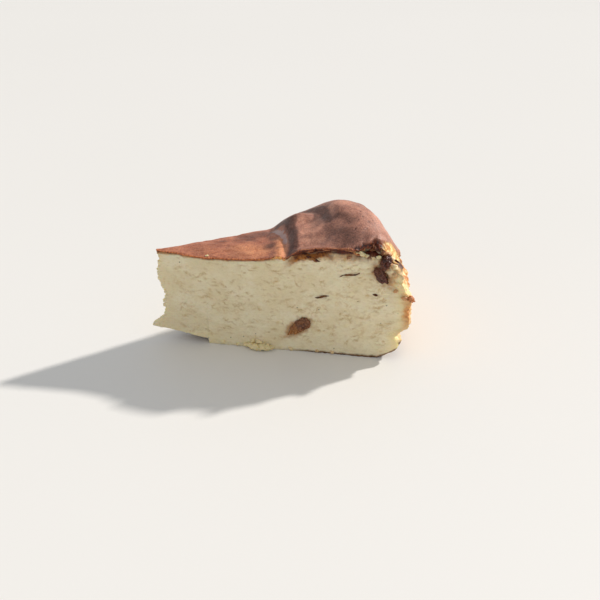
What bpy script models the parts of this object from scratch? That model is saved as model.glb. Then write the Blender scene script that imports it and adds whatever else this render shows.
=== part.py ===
"""A slice of burnt-top cheesecake with soaked raisins, cut from an 18 cm round cake.

The slice stands on its own base. Its tip points along -X, its rim faces +X, and the cut that
faces -Y is called the front cut. Places on the slice are given by three numbers: the distance
from the sharp tip along the slice, the turn t across it (-1 on the front cut, 0 in the middle,
+1 on the back cut) and the height above the base.
"""
import bpy
import bmesh
import math
from mathutils import Matrix, Vector, noise

MM = 0.001
CUT_RADIUS = 89.5 * MM
HALF_ANGLE = math.radians(20)
SHARP_TIP = Vector((-45.6 * MM, 0.1 * MM, 0.0))
TIP_HALF_WIDTH = 0.6 * MM

# Heights of the browned top along the two cuts and the middle: (distance from the tip, height)
FRONT_TOP = ((0, 38.2), (9, 37.9), (16, 37.2), (26, 37.3), (34, 37.5), (42, 38.6), (46.5, 39.9),
             (49.2, 39.4), (51.2, 41.0), (54, 42.9), (57, 43.6), (60, 44.1), (66, 44.6), (73, 44.8),
             (79, 45.4), (84, 44.6), (88, 41.0), (90, 38.2))
MIDDLE_TOP = ((0, 38.2), (9, 37.9), (16, 37.4), (26, 37.3), (34, 37.2), (42, 37.9), (46, 38.9),
              (48.4, 39.0), (50, 41.2), (51.5, 43.8), (54, 46.2), (57.5, 46.9), (61, 47.4), (64.5, 48.8),
              (69, 50.8), (74, 50.4), (78, 48.6), (81, 47.3), (84, 44.8), (86.5, 39.8), (88.5, 34.8),
              (90, 31.4))
BACK_TOP = ((0, 38.2), (9, 37.3), (16, 36.7), (26, 35.9), (34, 35.2), (42, 34.6), (49.5, 34.2),
            (54, 36.0), (60, 37.2), (66, 37.2), (73, 36.8), (79, 35.6), (84, 34.4), (90, 32.0))

# How far each height of the tip edge stands from the sharp tip, and of the rim from its radius
TIP_EDGE = ((0, 5.6), (3, 5.1), (5, 1.6), (7, -1.9), (9.5, 0.2), (11.3, 2.8), (15.5, 2.6), (20.7, 3.5),
            (25, 1.7), (29, 1.2), (36.3, 2.4), (37.2, 1.7), (38.5, 1.4))
RIM_EDGE = ((0, 0.2), (5, 0.8), (10.8, 0.6), (13, 2.8), (16, 4.1), (21, 4.2), (25, 4.4), (28.5, 2.7),
            (32, 1.2), (36, -0.4), (41, -1.6), (45, -3.2), (50, -5.0))

# The valley between the dome's two lobes, which fades out towards the front cut
VALLEY_PLACE = 61.5 * MM
VALLEY_SLANT = 8 * MM
VALLEY_REACH = 4.5 * MM
VALLEY_DEPTH = 1.3 * MM
VALLEY_MIDDLE_TURN = 0.3
VALLEY_FADES = (-0.7, 0.2)

# The crease at the dome's foot, which bends towards the tip at the back
CREASE_BEND = 1.2 * MM
CREASE_BEND_PLACE = (49 * MM, 8 * MM)
CREASE_BEND_TURNS = (-0.3, 0.35)

# How the dome is lower between the front cut and the middle: its shoulder over the crease, its crest
SHOULDER_DROP = 3.3 * MM
SHOULDER_RISES = (48.8 * MM, 55 * MM)
SHOULDER_ENDS = (55 * MM, 68 * MM)
SHOULDER_FRONT = (-1.0, -0.75)
SHOULDER_BACK = (0.0, 0.45)
CREST_DROP = 1.3 * MM
CREST_DROP_PLACE = (68 * MM, 9 * MM)
CREST_DROP_TURN = (-0.5, 0.45)

# Soft lumps, each as (height, size of a lump); the skin's large ones grow where the dome rises
SKIN_LUMPS = (0.45 * MM, 9 * MM)
SKIN_RIPPLES = (0.15 * MM, 3.5 * MM)
CUT_WAVES = (0.25 * MM, 7 * MM)
CUT_CRUMB = (0.2 * MM, 2.6 * MM)
RIM_CRAGS = (0.9 * MM, 5 * MM)
DOME_RISES = (50 * MM, 58 * MM)

BROKEN_TIP_LENGTH = 19.0 * MM
BROKEN_TIP_STEP = 2.3 * MM
BROKEN_TIP_HEIGHT = 5.6 * MM
BASE_ROUNDING_LENGTH = 9.0 * MM
BASE_ROUNDING_HEIGHT = 4.4 * MM

CRUST_THICKNESS = 0.8 * MM
CRUST_OVERHANG = 0.5 * MM
TOP_BAND = 10.0 * MM

# The gap under the dome's overhanging crust on the front cut
LAP_CENTRE = 60 * MM
LAP_REACH = 14 * MM
LAP_HEIGHT = 4.2 * MM
LAP_DEPTH = 1.6 * MM

# The crust torn off along the front cut from here to the rim, with a hollow under its edge
TEAR_START = 71.5 * MM
TEAR_FULL = 79 * MM
TEAR_SETBACK = 4.2 * MM
TEAR_HEIGHT = 7.0 * MM
TEAR_LOW_AT_RIM = 3.0 * MM
TEAR_LOWERS = (80 * MM, 86 * MM)
HOLLOW_CENTRE = 79.5 * MM
HOLLOW_REACH = 7.5 * MM
HOLLOW_DEPTH = 2.6 * MM
TEAR_FRAY = (0.5, 3 * MM)

# The crumb pushed out at the foot of the front cut
FOOT_CRUMB_PLACE = 38 * MM
FOOT_CRUMB_REACH = 5 * MM
FOOT_CRUMB_HEIGHT = 3.5 * MM
FOOT_CRUMB_DEPTH = 1.4 * MM

# How far in from each edge its own shape reaches
TIP_BLEND = 12.0 * MM
EDGE_BLEND = 12.0 * MM
RIM_BLEND = 12.0 * MM
SLENDER_TIP = 14.0 * MM

# The pleats that the baking paper pressed into the rim; the corner at the front cut has none
PLEAT_COUNT = 6
PLEAT_DEPTH = 1.4 * MM
PLEAT_WANDER = (2.5, 22 * MM)
PLEATS_START = (-1.0, -0.8)
BULGE_EVENS_OUT = (-1.0, -0.7)
BULGE_LOSS = (0.35, 14 * MM)

RAISIN_GAP = 0.35 * MM
RAISIN_LUMPS = (0.16, 1.7)
RAISIN_WRINKLES = (0.10, 3.1)
THIN_SLIVER = 2 * MM
SLICED_DOME = 0.12

ALONG_STEPS = 58
ACROSS_STEPS = 18
UP_STEPS = 20

# name, cut side, distance along the cut, height, length, thickness, depth, lean, how far it stands out
RAISINS = (
    ("raisin_low_front", -1, 53.2, 10.4, 8.2, 4.4, 3.4, 44, 0.3),
    ("raisin_rim_upper", -1, 84.3, 39.6, 4.7, 3.3, 3.4, 80, -0.3),
    ("raisin_rim_lower", -1, 82.8, 34.9, 5.5, 3.9, 3.2, -42, 0.4),
    ("raisin_skin_long", -1, 71.8, 34.2, 7.2, 1.2, 2.6, 24, 0.1),
    ("raisin_skin_short", -1, 62.0, 24.3, 4.6, 1.2, 2.4, 8, 0.1),
    ("raisin_skin_dot", -1, 81.0, 26.8, 1.8, 1.2, 1.8, -12, 0.1),
    ("raisin_under_crust", -1, 58.6, 39.4, 4.4, 1.6, 2.4, -14, 0.1),
    ("raisin_back_low", 1, 66.0, 13.5, 7.0, 4.2, 3.4, -30, 0.3),
    ("raisin_back_skin", 1, 47.0, 24.0, 5.6, 1.2, 2.6, 14, 0.1),
)


def smooth(low, high, value):
    """0 below low, 1 above high, with a soft S between."""
    share = min(max((value - low) / (high - low), 0.0), 1.0)
    return share * share * (3 - 2 * share)


def hump(centre, reach, value):
    """1 at the centre, falling softly to 0 at the reach on both sides."""
    return 1 - smooth(0.0, reach, abs(value - centre))


def along(outline, place):
    """Reads a smooth curve through the outline's points, given and returned in metres."""
    at = place / MM
    last = len(outline) - 1
    if at <= outline[0][0]:
        return outline[0][1] * MM
    if at >= outline[last][0]:
        return outline[last][1] * MM
    i = max(k for k in range(last) if outline[k][0] <= at)
    (x0, y0), (x1, y1) = outline[i], outline[i + 1]
    before = outline[max(i - 1, 0)]
    after = outline[min(i + 2, last)]
    slope0 = (y1 - before[1]) / (x1 - before[0])
    slope1 = (after[1] - y0) / (after[0] - x0)
    span = x1 - x0
    s = (at - x0) / span
    height = ((2 * s**3 - 3 * s**2 + 1) * y0 + (s**3 - 2 * s**2 + s) * span * slope0
              + (3 * s**2 - 2 * s**3) * y1 + (s**3 - s**2) * span * slope1)
    return height * MM


def crags(x, y, z, size):
    """Soft noise between about -1 and 1, with lumps of the given size."""
    return noise.noise(Vector((x, y, z)) / size)


def lumps(kind, x, y, z):
    """Soft lumps of a kind given as (height, size)."""
    return kind[0] * crags(x, y, z, kind[1])


def top_height(r, t):
    """The browned top: a low plateau at the tip, a crease, then a dome of two lobes."""
    bend = CREASE_BEND * smooth(*CREASE_BEND_TURNS, t) * hump(*CREASE_BEND_PLACE, r)
    front, middle, back = along(FRONT_TOP, r), along(MIDDLE_TOP, r + bend), along(BACK_TOP, r)
    height = front * (t * t - t) / 2 + middle * (1 - t * t) + back * (t * t + t) / 2
    place = VALLEY_PLACE + VALLEY_SLANT * (VALLEY_MIDDLE_TURN - t)
    height -= VALLEY_DEPTH * hump(place, VALLEY_REACH, r) * smooth(*VALLEY_FADES, t)
    shoulder = smooth(*SHOULDER_RISES, r) * (1 - smooth(*SHOULDER_ENDS, r))
    height -= SHOULDER_DROP * shoulder * smooth(*SHOULDER_FRONT, t) * (1 - smooth(*SHOULDER_BACK, t))
    height -= CREST_DROP * hump(*CREST_DROP_PLACE, r) * hump(*CREST_DROP_TURN, t)
    across = t * 20 * MM
    height += lumps(SKIN_LUMPS, r, across, 3 * MM) * (0.5 + smooth(*DOME_RISES, r))
    return height + lumps(SKIN_RIPPLES, r, across, 9 * MM)


def base_height(r):
    """The base: flat, broken away under the tip and rounded up at the rim."""
    height = 0.0
    if r < BROKEN_TIP_LENGTH:
        share = r / BROKEN_TIP_LENGTH
        height = BROKEN_TIP_HEIGHT + (BROKEN_TIP_STEP - BROKEN_TIP_HEIGHT) * share
    start = CUT_RADIUS - BASE_ROUNDING_LENGTH
    if r > start:
        height = BASE_ROUNDING_HEIGHT * ((r - start) / BASE_ROUNDING_LENGTH) ** 2
    return height


def rim_shift(t, z):
    """How far the rim stands out from its radius: a bulge at mid height, and paper pleats."""
    angle = t * HALF_ANGLE
    around = CUT_RADIUS * angle
    loss, loss_size = BULGE_LOSS
    evened = loss * smooth(*BULGE_EVENS_OUT, t) * (1 + crags(around, 40 * MM, z, loss_size))
    bulge = along(RIM_EDGE, z) * (1 - evened)
    pleat = abs(math.sin(PLEAT_COUNT * (t + 1) + lumps(PLEAT_WANDER, around, 0.0, z)))
    fold = PLEAT_DEPTH * (pleat - 0.75) * smooth(*PLEATS_START, t) * smooth(3 * MM, 9 * MM, z)
    return bulge + fold + lumps(RIM_CRAGS, around, 8 * MM, z)


def cut_shift(side, r, z, depth):
    """How far a cut's surface stands out from its plane; depth is measured down from the top."""
    place = r + (0 if side < 0 else 200 * MM)
    shift = lumps(CUT_WAVES, place, 5 * MM, z) + lumps(CUT_CRUMB, place, 15 * MM, z)
    in_crust = 1 - smooth(0.6 * CRUST_THICKNESS, 1.5 * CRUST_THICKNESS, depth)
    shift += CRUST_OVERHANG * in_crust
    if side > 0:
        return shift
    lap = hump(LAP_CENTRE, LAP_REACH, r)
    under = smooth(0.6 * CRUST_THICKNESS, 1.6 * CRUST_THICKNESS, depth)
    shift -= LAP_DEPTH * lap * under * (1 - smooth(0.3 * LAP_HEIGHT, LAP_HEIGHT, depth))
    tear = smooth(TEAR_START, TEAR_FULL, r)
    torn = tear * (0.85 + lumps(TEAR_FRAY, r, 2 * MM, z))
    torn_down = TEAR_HEIGHT - TEAR_LOW_AT_RIM * smooth(*TEAR_LOWERS, r)
    shift -= TEAR_SETBACK * torn * (1 - smooth(0.25 * torn_down, torn_down, depth))
    hollow = hump(HOLLOW_CENTRE, HOLLOW_REACH, r) * under
    shift -= HOLLOW_DEPTH * hollow * (1 - smooth(0.3 * TEAR_HEIGHT, 0.6 * TEAR_HEIGHT, depth))
    crumb = hump(FOOT_CRUMB_PLACE, FOOT_CRUMB_REACH, r)
    crumb *= 1 - smooth(0.4 * FOOT_CRUMB_HEIGHT, FOOT_CRUMB_HEIGHT, z)
    return shift + FOOT_CRUMB_DEPTH * crumb * (0.7 + 0.6 * crags(r, 0.0, z, 2 * MM))


def place_on_slice(u, v, w):
    """Bends a point of the unit block into the slice: u across, v along, w up."""
    t = 2 * u - 1
    r = v * CUT_RADIUS
    top = top_height(r, t)
    base = base_height(r)
    depth = TOP_BAND * (2 * (1 - w)) ** 1.5 if w > 0.5 else top - base - 2 * w * (top - base - TOP_BAND)
    z = top - depth
    near_tip = max(1 - r / TIP_BLEND, 0.0)
    r += along(TIP_EDGE, z) * near_tip
    near_rim = smooth(CUT_RADIUS - RIM_BLEND, CUT_RADIUS, r)
    reach = r + rim_shift(t, z) * near_rim
    angle = t * HALF_ANGLE
    x = reach * math.cos(angle)
    y = math.copysign(max(abs(reach * math.sin(angle)), abs(t) * TIP_HALF_WIDTH), t)
    point = SHARP_TIP + Vector((x, y, z))
    slender = 0.3 + 0.7 * smooth(0.0, SLENDER_TIP, r)
    for side in (-1, 1):
        normal = Vector((-math.sin(HALF_ANGLE), side * math.cos(HALF_ANGLE), 0))
        distance = max(r, 0.0) * math.sin(abs(side - t) * HALF_ANGLE)
        share = max(1 - distance / EDGE_BLEND, 0.0) ** 1.5
        point += normal * cut_shift(side, r, z, depth) * share * slender
    point.z = max(point.z, 0.0)
    return point


def paint(name, colour, roughness):
    """A material with one colour and roughness, for something that isn't metal."""
    material = bpy.data.materials.new(name)
    material.use_nodes = True
    shader = material.node_tree.nodes["Principled BSDF"]
    shader.inputs["Base Color"].default_value = (*colour, 1)
    shader.inputs["Roughness"].default_value = roughness
    shader.inputs["Metallic"].default_value = 0.0
    material.diffuse_color = (*colour, 1)
    return material


def new_object(name, bm, collection):
    """Turns a bmesh into an object in the collection."""
    mesh = bpy.data.meshes.new(name)
    bm.to_mesh(mesh)
    bm.free()
    obj = bpy.data.objects.new(name, mesh)
    collection.objects.link(obj)
    return obj


def unit_block():
    """A unit cube sliced into rows along, across and up."""
    bm = bmesh.new()
    bmesh.ops.create_cube(bm, size=1, matrix=Matrix.Translation((0.5, 0.5, 0.5)))
    for axis, steps in ((0, ACROSS_STEPS), (1, ALONG_STEPS), (2, UP_STEPS)):
        normal = Vector([float(k == axis) for k in range(3)])
        for step in range(1, steps):
            everything = bm.verts[:] + bm.edges[:] + bm.faces[:]
            bmesh.ops.bisect_plane(bm, geom=everything, plane_co=normal * step / steps, plane_no=normal)
    return bm


def flatten_base(bm):
    """Joins the level faces that the slice stands on into one."""
    level = [f for f in bm.faces if all(v.co.z == 0.0 for v in f.verts)]
    bmesh.ops.dissolve_faces(bm, faces=level)


def build_slice(collection):
    """The slice: pale curd, with its browned skin on top and a brown base."""
    bm = unit_block()
    top_faces = [f for f in bm.faces if f.normal.z > 0.5]
    base_faces = [f for f in bm.faces if f.normal.z < -0.5]
    for face in top_faces:
        face.material_index = 1
    for face in base_faces:
        face.material_index = 2
    for vert in bm.verts:
        vert.co = place_on_slice(*vert.co)
    flatten_base(bm)
    bmesh.ops.recalc_face_normals(bm, faces=bm.faces)
    bmesh.ops.triangulate(bm, faces=bm.faces)
    obj = new_object("cheesecake_slice", bm, collection)
    obj.data.materials.append(paint("curd", (0.80, 0.69, 0.43), 0.6))
    obj.data.materials.append(paint("browned_skin", (0.36, 0.14, 0.07), 0.5))
    obj.data.materials.append(paint("brown_base", (0.10, 0.05, 0.025), 0.6))
    return obj


def raisin_mesh(size, seed, swell, cut_at):
    """A wrinkled ellipsoid, made larger all over by swell, and sliced level with the cut."""
    bm = bmesh.new()
    if min(size) > THIN_SLIVER:
        bmesh.ops.create_icosphere(bm, subdivisions=2, radius=1)
    else:
        bmesh.ops.create_uvsphere(bm, u_segments=12, v_segments=7, radius=1)
    for vert in bm.verts:
        way = vert.co.normalized()
        wrinkle = 1 + RAISIN_LUMPS[0] * noise.noise(way * RAISIN_LUMPS[1] + Vector((seed, 0, 0)))
        wrinkle -= RAISIN_WRINKLES[0] * abs(noise.noise(way * RAISIN_WRINKLES[1] + Vector((0, seed, 0))))
        body = Vector((way.x * size[0] / 2, way.y * size[1], way.z * size[2] / 2)) * wrinkle
        vert.co = body + way * swell
        if vert.co.y > cut_at:
            vert.co.y = cut_at + SLICED_DOME * (vert.co.y - cut_at)
    return bm


def build_raisin(row, seed, pieces, cutters, material):
    """One raisin lying in its pocket, sliced with the cake, and the cutter of the pocket."""
    name, side, r, z, length, thickness, depth, lean, proud = row
    size = (length * MM, depth * MM, thickness * MM)
    direction = Vector((math.cos(HALF_ANGLE), side * math.sin(HALF_ANGLE), 0))
    outward = Vector((-math.sin(HALF_ANGLE), side * math.cos(HALF_ANGLE), 0))
    sideways = outward.cross(Vector((0, 0, 1)))
    frame = Matrix((sideways, outward, Vector((0, 0, 1)))).transposed().to_4x4()
    turn = Matrix.Rotation(-math.radians(lean) * side, 4, "Y")
    place = Matrix.Translation(SHARP_TIP + direction * r * MM + Vector((0, 0, z * MM))) @ frame @ turn
    raisin = new_object(name, raisin_mesh(size, seed, 0.0, proud * MM), pieces)
    raisin.data.materials.append(material)
    raisin.data.shade_smooth()
    pocket = new_object(name + "_pocket", raisin_mesh(size, seed, RAISIN_GAP, size[1]), cutters)
    pocket.hide_render = True
    pocket.display_type = "WIRE"
    for obj in (raisin, pocket):
        obj.matrix_world = place


def cut_pockets(obj, cutters):
    """Cuts every raisin's pocket out of the slice."""
    cut = obj.modifiers.new("raisin_pockets", "BOOLEAN")
    cut.operation = "DIFFERENCE"
    cut.operand_type = "COLLECTION"
    cut.collection = cutters
    cut.solver = "EXACT"


def build():
    """Clears the scene and builds the slice with its raisins."""
    for old in list(bpy.data.objects):
        bpy.data.objects.remove(old, do_unlink=True)
    pieces = bpy.data.collections.new("cheesecake")
    cutters = bpy.data.collections.new("raisin_cutters")
    for collection in (pieces, cutters):
        bpy.context.scene.collection.children.link(collection)
    cake = build_slice(pieces)
    raisin_brown = paint("raisin", (0.05, 0.017, 0.012), 0.35)
    for seed, row in enumerate(RAISINS):
        build_raisin(row, 3.7 * seed, pieces, cutters, raisin_brown)
    cut_pockets(cake, cutters)


build()
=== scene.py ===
import random
from math import atan2, copysign, cos, hypot, pi, radians, sin, sqrt

import bmesh
import bpy
from mathutils import Matrix, Vector, geometry, noise


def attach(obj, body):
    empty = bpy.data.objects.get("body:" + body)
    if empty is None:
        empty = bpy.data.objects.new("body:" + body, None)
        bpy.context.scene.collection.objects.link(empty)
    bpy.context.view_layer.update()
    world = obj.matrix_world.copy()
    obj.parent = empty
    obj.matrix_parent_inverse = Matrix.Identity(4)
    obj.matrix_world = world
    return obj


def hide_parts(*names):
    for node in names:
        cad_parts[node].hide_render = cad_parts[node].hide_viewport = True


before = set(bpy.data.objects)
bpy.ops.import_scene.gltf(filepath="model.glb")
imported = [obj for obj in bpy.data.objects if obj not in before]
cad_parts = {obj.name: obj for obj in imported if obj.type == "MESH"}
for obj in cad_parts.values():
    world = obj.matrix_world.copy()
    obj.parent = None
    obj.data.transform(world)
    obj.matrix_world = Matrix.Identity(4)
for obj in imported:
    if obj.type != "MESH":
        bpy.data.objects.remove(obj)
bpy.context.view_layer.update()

# The curd
# Baked cream cheese custard, cut with a knife from an 18 cm round cake: two cuts, a craggy rim that
# the baking paper shaped and a thin brown base. One closed mesh: its wall runs once round the slice
# as a fine grid, and its flat base and the top that the skin covers are filled coarsely.
# Every size is in millimetres, and MM turns it into metres.
MM = 0.001
CUT_RADIUS = 89.5
HALF_ANGLE = radians(20)
SHARP_TIP = Vector((-45.6, 0.1, 0))
TIP_HALF_WIDTH = 0.6

# Heights of the top along the two cuts and the middle: (distance from the tip, height)
FRONT_TOP = ((0, 38.2), (9, 37.9), (16, 37.2), (26, 37.3), (34, 37.5), (42, 38.6), (46.5, 39.9),
             (49.2, 39.4), (51.2, 41), (54, 42.9), (57, 43.6), (60, 44.1), (66, 44.6), (73, 44.8),
             (79, 45.4), (84, 44.6), (88, 41), (90, 38.2))
MIDDLE_TOP = ((0, 38.2), (9, 37.9), (16, 37.4), (26, 37.3), (34, 37.2), (42, 37.9), (46, 38.9),
              (48.4, 39), (50, 41.2), (51.5, 43.8), (54, 46.2), (57.5, 46.9), (61, 47.4), (64.5, 48.8),
              (69, 50.8), (74, 50.4), (78, 48.6), (81, 47.3), (84, 44.8), (86.5, 39.8), (88.5, 34.8),
              (90, 31.4))
BACK_TOP = ((0, 38.2), (9, 37.3), (16, 36.7), (26, 35.9), (34, 35.2), (42, 34.6), (49.5, 34.2),
            (54, 36), (60, 37.2), (66, 37.2), (73, 36.8), (79, 35.6), (84, 34.4), (90, 32))

# How far each height of the tip edge stands from the sharp tip, and of the rim from its radius
TIP_EDGE = ((0, 5.6), (3, 5.1), (5, 1.6), (7, -1.9), (9.5, 0.2), (11.3, 2.8), (15.5, 2.6), (20.7, 3.5),
            (25, 1.7), (29, 1.2), (36.3, 2.4), (37.2, 1.7), (38.5, 1.4))
RIM_EDGE = ((0, 0.2), (5, 0.8), (10.8, 0.6), (13, 2.8), (16, 4.1), (21, 4.2), (25, 4.4), (28.5, 2.7),
            (32, 1.2), (36, -0.4), (41, -1.6), (45, -3.2), (50, -5))

VALLEY_PLACE = 61.5
VALLEY_SLANT = 8
VALLEY_REACH = 4.5
VALLEY_DEPTH = 1.3
VALLEY_MIDDLE_TURN = 0.3
VALLEY_FADES = (-0.7, 0.2)

# The crease at the dome's foot, which bends towards the tip at the back
CREASE_BEND = 1.2
CREASE_BEND_PLACE = (49, 8)
CREASE_BEND_TURNS = (-0.3, 0.35)

# How the dome is lower between the front cut and the middle: its shoulder over the crease, its crest
SHOULDER_DROP = 3.3
SHOULDER_RISES = (48.8, 55)
SHOULDER_ENDS = (55, 68)
SHOULDER_FRONT = (-1, -0.75)
SHOULDER_BACK = (0, 0.45)
CREST_DROP = 1.3
CREST_DROP_PLACE = (68, 9)
CREST_DROP_TURN = (-0.5, 0.45)
SKIN_LUMPS = (0.45, 9)
SKIN_RIPPLES = (0.15, 3.5)
CUT_WAVES = (0.25, 7)
CUT_CRUMB = (0.2, 2.6)
RIM_CRAGS = (0.9, 5)
DOME_RISES = (50, 58)
BROKEN_TIP_LENGTH = 19
BROKEN_TIP_STEP = 2.3
BROKEN_TIP_HEIGHT = 5.6
BASE_ROUNDING_LENGTH = 9
BASE_ROUNDING_HEIGHT = 4.4
CRUST_THICKNESS = 0.8
CRUST_OVERHANG = 0.5
LAP_CENTRE = 60
LAP_REACH = 14
LAP_HEIGHT = 4.2
LAP_DEPTH = 1.6
TEAR_START = 71.5
TEAR_FULL = 79
TEAR_SETBACK = 4.2
TEAR_HEIGHT = 7
TEAR_LOW_AT_RIM = 3
TEAR_LOWERS = (80, 86)
HOLLOW_CENTRE = 79.5
HOLLOW_REACH = 7.5
HOLLOW_DEPTH = 2.6
TEAR_FRAY = (0.5, 3)
FOOT_CRUMB_PLACE = 38
FOOT_CRUMB_REACH = 5
FOOT_CRUMB_HEIGHT = 3.5
FOOT_CRUMB_DEPTH = 1.4
TIP_BLEND = 12
EDGE_BLEND = 12
RIM_BLEND = 12
SLENDER_TIP = 14
PLEAT_COUNT = 6
PLEAT_DEPTH = 1.4
PLEAT_WANDER = (2.5, 22)
PLEATS_START = (-1, -0.8)
BULGE_EVENS_OUT = (-1, -0.7)
BULGE_LOSS = (0.35, 14)

# The wall's grid: points along each cut, round the rim, across the tip and up, and the coarse filling
FRONT_COLUMNS = 300
RIM_COLUMNS = 180
BACK_COLUMNS = 150
TIP_COLUMNS = 4
WALL_ROWS = 140
FILLING_SPACING = 3
CURD_TOP_DEPTH = 0.45
HIDDEN_TOP_DEPTH = 5.5

# Fine relief of the cuts and the rim, each as (height, size)
FINE_CRUMB = ((0.12, 1.5), (0.1, 0.7))
SMEARS = ((0.17, 1.3), (0.1, 0.7))
SMEAR_STRETCH = 0.36
KNOBBLY_CRUMB = ((0.34, 3.4), (0.22, 1.3))
TORN_CRUMB = ((0.8, 2.6), (0.4, 1))
RIM_LUMPS = ((1.25, 3.2), (0.85, 1.4), (0.3, 0.6))
BROKEN_FOOT = (0.35, 0.9)
FOOT_BREAKS_TO = 2.2
KNOBBLY_FROM = ((52, 72), (24, 34))
RIM_CORNER = (83, 88)

# The marks where the knife tore the crumb: how many a cut has, their sizes and where they crowd
MARK_COUNT = 400
MARK_AREA = ((6, 86), (4, 41))
MARK_CROWDS = 8
MARK_STEPS = 5
MARK_LENGTH = (2.2, 7)
MARK_WIDTH = (0.36, 0.8)
MARK_DEPTH = 0.15
MARK_CELL = 1
MARK_LEAN = radians(14)
MARK_SPREAD = radians(16)

# Where the colours of the front cut lie, as (centre, reach) or (start, full) along the cut and in
# height: the rim's corner, its toast, dry ochre crumb, a wrinkled fold and the stain round a raisin
CORNER_FROM = (84.5, 88.5)
TOAST_BAND = (20, 11)
OCHRE_FROM = ((56, 74), (14, 26))
FOLD = ((85, 3.6), (31.2, 3.4))
HALO = ((81, 3.2), (37.6, 3.6))
POCKET_DEPTH = {-1: 0.9, 1: 1.2}

# Right under the crust, along the front cut: the band under the crust's lip, burnt sugar and painted
# shade, the lap's caramel recess, a caramel patch, the torn hollow, burnt sugar and painted shade too, and
# the stained crumb
BAND_FROM = (50, 54)
RECESS_FROM, RECESS_ENDS = (47, 53), (70, 62)
CARAMEL_PATCH = (71.4, 3.6)
BURNT_AND_SHADE_FROM, BURNT_AND_SHADE_ENDS = (71, 76), (86, 83)
STAIN_FROM = (60, 70)

# Where the noise is read for the back cut, so that it differs, and for a turn of 1 across the top
BACK_APART = 200
TURN_APART = 20

# The tip edge's ragged teeth, as (height, size)
TIP_TEETH = ((0.5, 2.6), (0.9, 0.9), (0.8, 0.45))

# Every raisin: name, cut, distance along the cut, height, length, thickness, depth, lean, how proud
RAISINS = (
    ("raisin_low_front", -1, 53.2, 10.4, 8.2, 4.4, 3.4, 44, 0.3),
    ("raisin_rim_upper", -1, 84.3, 39.6, 4.7, 3.3, 3.4, 80, -0.3),
    ("raisin_rim_lower", -1, 82.8, 34.9, 5.5, 3.9, 3.2, -42, 0.4),
    ("raisin_skin_long", -1, 71.8, 34.2, 7.2, 1.2, 2.6, 24, 0.1),
    ("raisin_skin_short", -1, 62, 24.3, 4.6, 1.2, 2.4, 8, 0.1),
    ("raisin_skin_dot", -1, 81, 26.8, 1.8, 1.2, 1.8, -12, 0.1),
    ("raisin_under_crust", -1, 58.6, 39.4, 4.4, 1.6, 2.4, -14, 0.1),
    ("raisin_back_low", 1, 66, 13.5, 7, 4.2, 3.4, -30, 0.3),
    ("raisin_back_skin", 1, 47, 24, 5.6, 1.2, 2.6, 14, 0.1),
)


def smooth(start, end, value):
    """0 at the start, 1 at the end, which may be the smaller, with a soft S between."""
    share = min(max((value - start) / (end - start), 0), 1)
    return share * share * (3 - 2 * share)


def hump(centre, reach, value):
    """1 at the centre, falling softly to 0 at the reach on both sides."""
    return smooth(reach, 0, abs(value - centre))


def along(outline, place):
    """Reads a smooth curve through the outline's points."""
    last = len(outline) - 1
    if place <= outline[0][0]:
        return outline[0][1]
    if place >= outline[last][0]:
        return outline[last][1]
    i = max(k for k in range(last) if outline[k][0] <= place)
    (x0, y0), (x1, y1) = outline[i], outline[i + 1]
    before = outline[max(i - 1, 0)]
    after = outline[min(i + 2, last)]
    slope0 = (y1 - before[1]) / (x1 - before[0])
    slope1 = (after[1] - y0) / (after[0] - x0)
    span = x1 - x0
    s = (place - x0) / span
    return ((2 * s**3 - 3 * s**2 + 1) * y0 + (s**3 - 2 * s**2 + s) * span * slope0
            + (3 * s**2 - 2 * s**3) * y1 + (s**3 - s**2) * span * slope1)


def crags(x, y, z, size):
    """Soft noise between about -1 and 1, with lumps of the given size."""
    return noise.noise(Vector((x, y, z)) / size)


def lumps(kind, x, y, z):
    """Soft lumps of a kind given as (height, size)."""
    return kind[0] * crags(x, y, z, kind[1])


def relief_of(kinds, x, y, z):
    """Several kinds of lumps together."""
    return sum(lumps(kind, x, y, z) for kind in kinds)


def top_height(r, t):
    """The browned top: a low plateau at the tip, a crease, then a dome of two lobes."""
    bend = CREASE_BEND * smooth(*CREASE_BEND_TURNS, t) * hump(*CREASE_BEND_PLACE, r)
    front, middle, back = along(FRONT_TOP, r), along(MIDDLE_TOP, r + bend), along(BACK_TOP, r)
    height = front * (t * t - t) / 2 + middle * (1 - t * t) + back * (t * t + t) / 2
    place = VALLEY_PLACE + VALLEY_SLANT * (VALLEY_MIDDLE_TURN - t)
    height -= VALLEY_DEPTH * hump(place, VALLEY_REACH, r) * smooth(*VALLEY_FADES, t)
    shoulder = smooth(*SHOULDER_RISES, r) * (1 - smooth(*SHOULDER_ENDS, r))
    height -= SHOULDER_DROP * shoulder * smooth(*SHOULDER_FRONT, t) * (1 - smooth(*SHOULDER_BACK, t))
    height -= CREST_DROP * hump(*CREST_DROP_PLACE, r) * hump(*CREST_DROP_TURN, t)
    across = t * TURN_APART
    height += lumps(SKIN_LUMPS, r, across, 3) * (0.5 + smooth(*DOME_RISES, r))
    return height + lumps(SKIN_RIPPLES, r, across, 9)


def base_height(r):
    """The base: flat, broken away under the tip and rounded up at the rim."""
    height = 0
    if r < BROKEN_TIP_LENGTH:
        share = r / BROKEN_TIP_LENGTH
        height = BROKEN_TIP_HEIGHT + (BROKEN_TIP_STEP - BROKEN_TIP_HEIGHT) * share
    start = CUT_RADIUS - BASE_ROUNDING_LENGTH
    if r > start:
        height = BASE_ROUNDING_HEIGHT * ((r - start) / BASE_ROUNDING_LENGTH) ** 2
    return height


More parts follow.
